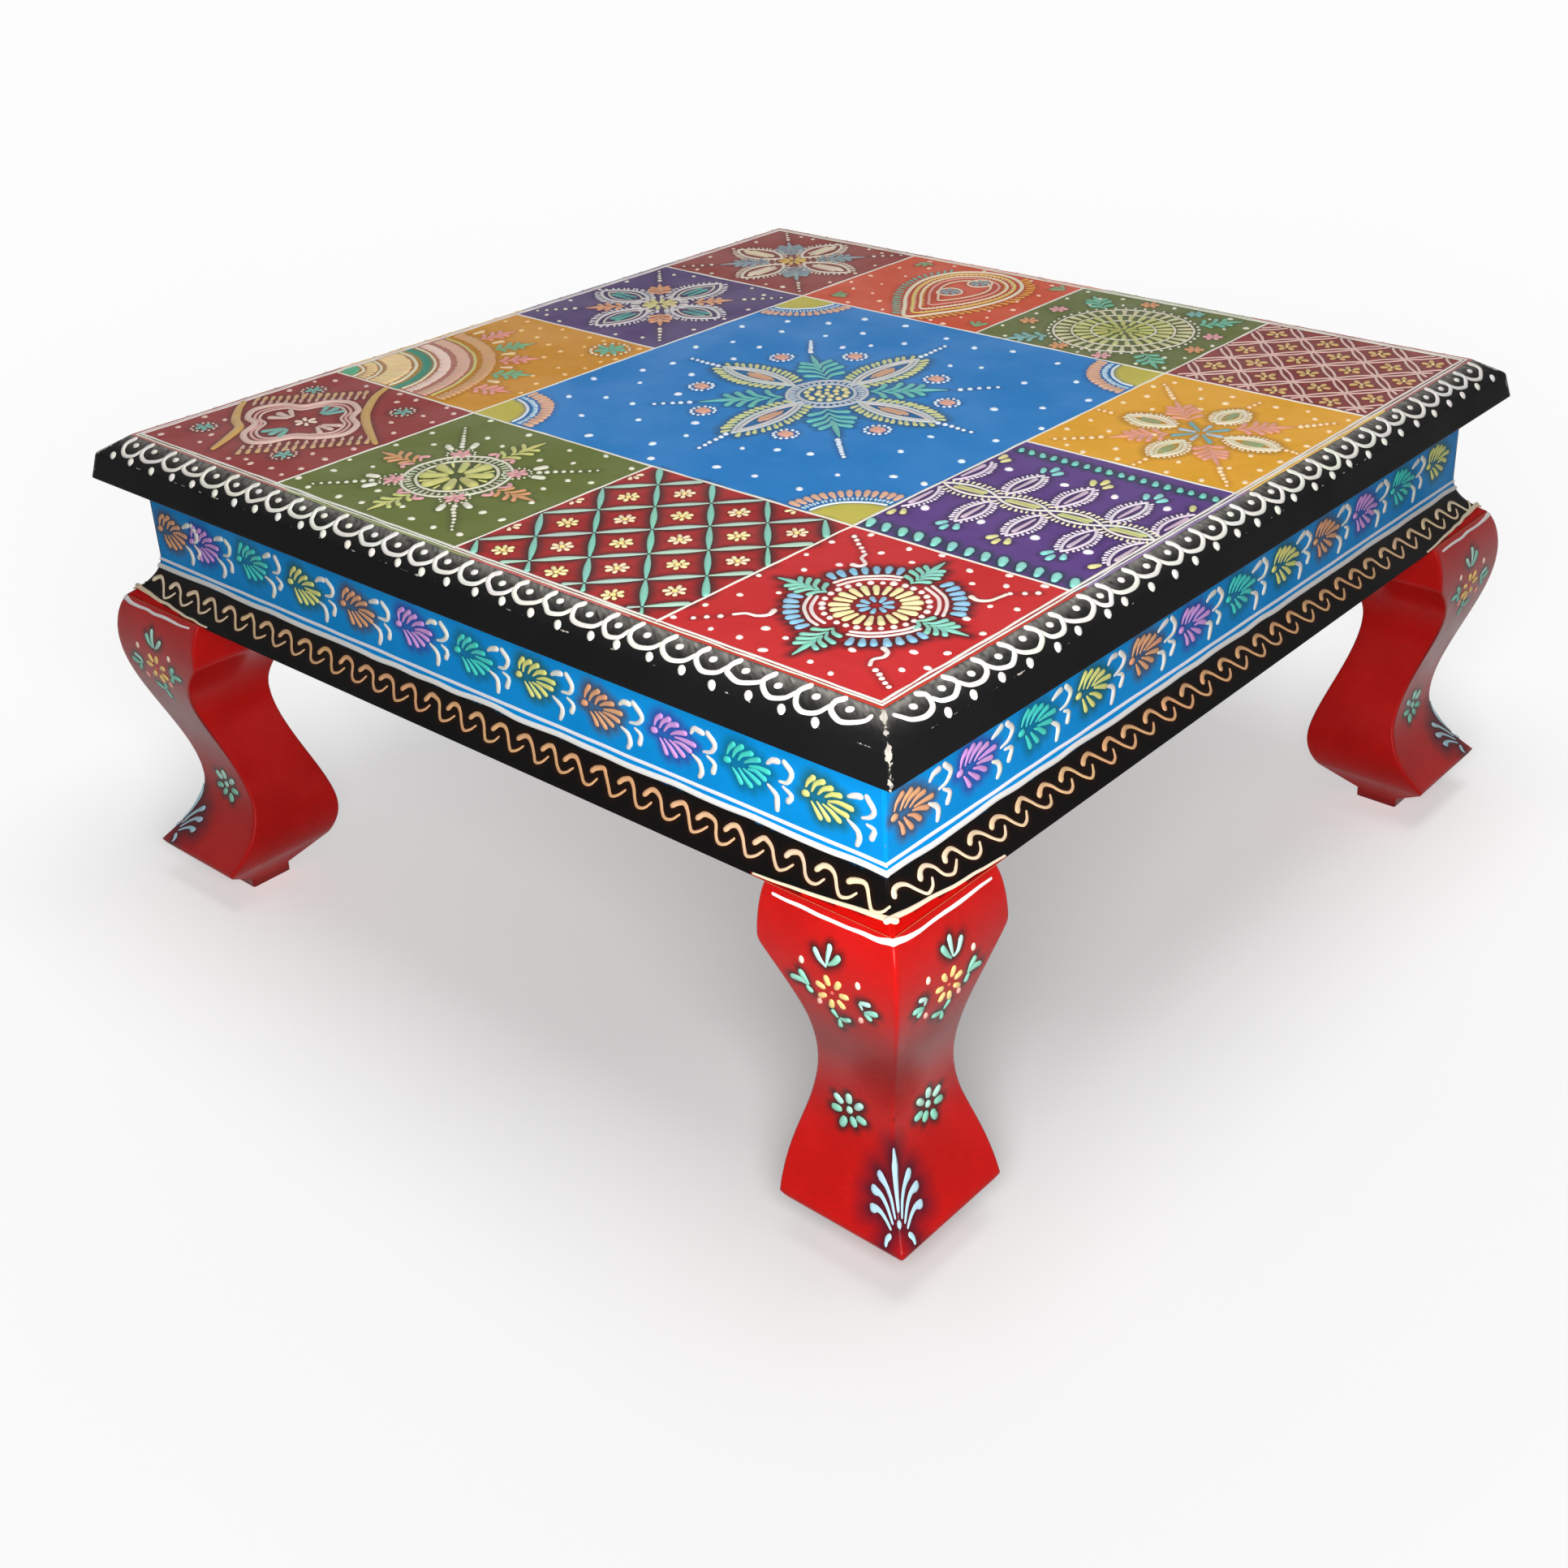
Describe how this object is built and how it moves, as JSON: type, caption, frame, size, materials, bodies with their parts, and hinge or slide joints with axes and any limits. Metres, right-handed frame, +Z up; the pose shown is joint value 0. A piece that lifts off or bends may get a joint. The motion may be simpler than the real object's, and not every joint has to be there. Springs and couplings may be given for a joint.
{
  "type": "bajot low table",
  "caption": "Low square table with a painted patchwork top, a bevelled black edge, moulded aprons and square cabriole legs.",
  "frame": {"origin": "on the floor under the middle of the table", "axes": "+Z up; +X to the right-hand side and -Y to the front, each square to an apron"},
  "size_m": [0.4618, 0.4618, 0.2286],
  "materials": {
    "top_paint": "satin enamel, painted in patches of many colours",
    "edge_black": "satin black enamel, brushed on",
    "apron_paint": "satin blue enamel above, black on the foot moulding",
    "leg_red": "gloss red enamel",
    "bare_wood": "sawn and left bare",
    "screw_steel": "zinc-plated",
    "relief_paint": "thick paint laid on with a cone in raised lines and dots"
  },
  "bodies": {
    "root": {"top_panel": "top_paint", "top_edge_front": "edge_black", "apron_front": "apron_paint", "top_cleat_front": "bare_wood", "cleat_screw_front_1": "screw_steel", "cleat_screw_front_2": "screw_steel", "top_edge_right": "edge_black", "apron_right": "apron_paint", "top_cleat_right": "bare_wood", "cleat_screw_right_1": "screw_steel", "cleat_screw_right_2": "screw_steel", "top_edge_back": "edge_black", "apron_back": "apron_paint", "top_cleat_back": "bare_wood", "cleat_screw_back_1": "screw_steel", "cleat_screw_back_2": "screw_steel", "top_edge_left": "edge_black", "apron_left": "apron_paint", "top_cleat_left": "bare_wood", "cleat_screw_left_1": "screw_steel", "cleat_screw_left_2": "screw_steel", "leg_front_left": "leg_red", "corner_block_front_left": "bare_wood", "leg_screw_front_left": "screw_steel", "leg_front_right": "leg_red", "corner_block_front_right": "bare_wood", "leg_screw_front_right": "screw_steel", "leg_back_right": "leg_red", "corner_block_back_right": "bare_wood", "leg_screw_back_right": "screw_steel", "leg_back_left": "leg_red", "corner_block_back_left": "bare_wood", "leg_screw_back_left": "screw_steel"}
  },
  "joints": []
}
